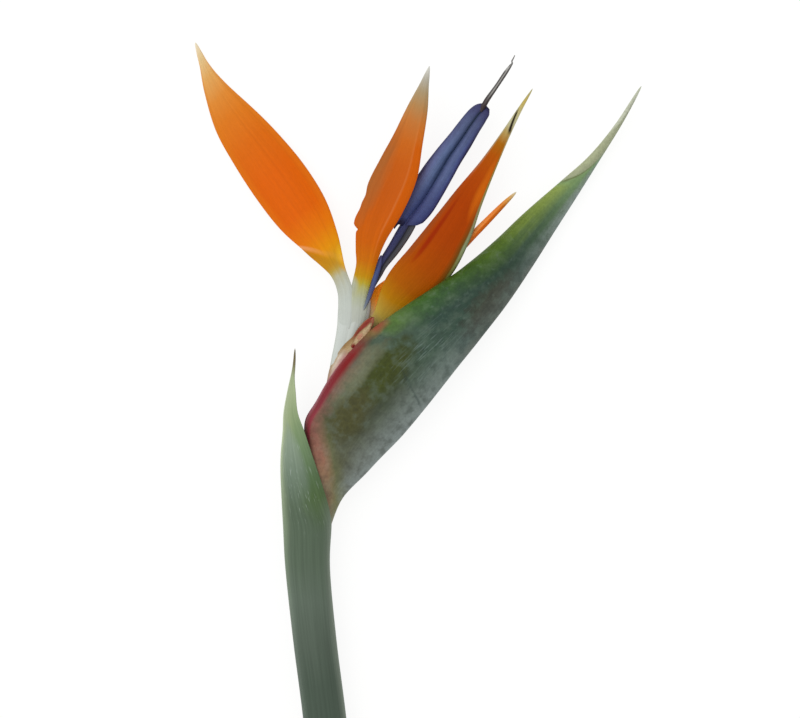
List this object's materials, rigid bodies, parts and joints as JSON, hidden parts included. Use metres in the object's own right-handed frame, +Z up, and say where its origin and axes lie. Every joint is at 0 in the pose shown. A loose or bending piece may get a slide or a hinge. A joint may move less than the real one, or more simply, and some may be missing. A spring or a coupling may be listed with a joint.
{
  "type": "bird of paradise flower",
  "caption": "Cut bird of paradise flower lying on its side: a sheathed green stem, a beaked boat-shaped spathe, orange sepals and a violet-blue arrow-shaped petal.",
  "frame": {"origin": "middle of the footprint, on the surface that the flower lies on", "axes": "+Y from the cut end of the stem towards the petal tips, +X towards the beak of the spathe, +Z up from the surface, so the flower's side view is seen from +Z"},
  "size_m": [0.1626, 0.2926, 0.0235],
  "materials": {
    "stem_green": "satin green skin with fine lengthwise streaks; pale fibrous flesh on the cut end",
    "sheath_green": "satin, pale yellow-green to grey-green with a waxy bloom and a dry brown tip",
    "spathe_green": "satin, dark grey-green with pale streaks, a red mouth edge and a pale beak tip",
    "dry_bract": "thin, matt, papery beige with a red-brown edge",
    "claw_white": "smooth, waxy, greenish white with soft lengthwise grooves",
    "sepal_orange": "satin, vivid orange with fine lengthwise veins, yellow towards the base and pale at the tip",
    "petal_blue": "satin violet-blue, darker in the groove",
    "style_grey": "thin, grey, slightly translucent",
    "bud_green": "smooth, pale green"
  },
  "bodies": {
    "root": {"stem": "stem_green", "sheath": "sheath_green", "spathe": "spathe_green", "bracteole": "dry_bract", "flower_base": "claw_white", "sepal_left": "sepal_orange", "sepal_middle": "sepal_orange", "sepal_right": "sepal_orange", "petal_tongue": "petal_blue", "petal_hood": "petal_blue", "style": "style_grey", "second_flower_bud": "bud_green", "second_flower_sepal": "sepal_orange"}
  },
  "joints": []
}
